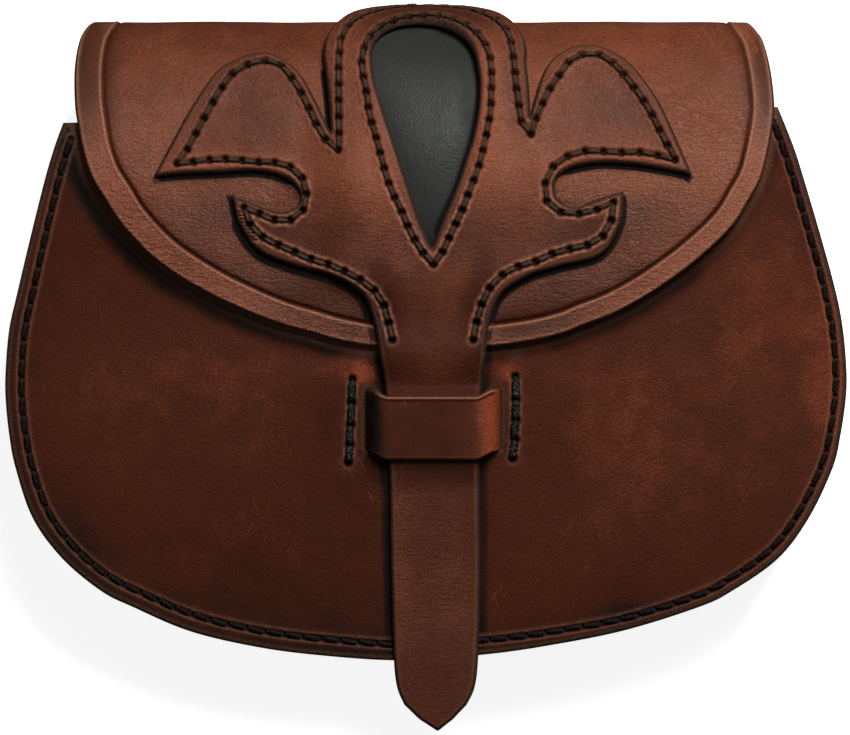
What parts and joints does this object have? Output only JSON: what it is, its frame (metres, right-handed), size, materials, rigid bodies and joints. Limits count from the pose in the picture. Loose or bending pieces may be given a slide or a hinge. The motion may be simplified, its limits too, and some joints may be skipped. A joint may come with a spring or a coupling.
{
  "type": "belt bag",
  "caption": "Stiff leather pouch worn on a belt, with a folded flap, a stitched scroll overlay over a teardrop inlay, and a strap that slides under a keeper",
  "frame": {"origin": "centre of the bounding box, on the surface that the bag lies on", "axes": "+X across the bag, +Y up the bag towards the flap's fold, +Z out of its front; the bag lies on its back, on its belt loops"},
  "size_m": [0.2104, 0.1822, 0.0562],
  "materials": {
    "front_leather": "dyed and waxed vegetable-tanned leather, semi-matt, dark red-brown with worn orange areas",
    "gusset_leather": "dyed leather, semi-matt, dark brown",
    "flap_leather": "dyed and waxed leather, soft sheen, chestnut brown",
    "inlay_leather": "black leather, soft sheen",
    "overlay_leather": "dyed and waxed leather, soft sheen, chestnut brown with dark burnished edges",
    "keeper_leather": "dyed and waxed leather, rubbed by use",
    "loop_leather": "dyed leather, semi-matt"
  },
  "bodies": {
    "root": {"front_panel": "front_leather", "gusset": "gusset_leather", "back_and_flap": "flap_leather", "inlay": "inlay_leather", "applique_strap": "overlay_leather", "keeper": "keeper_leather", "belt_loop_left": "loop_leather", "belt_loop_right": "loop_leather"}
  },
  "joints": []
}
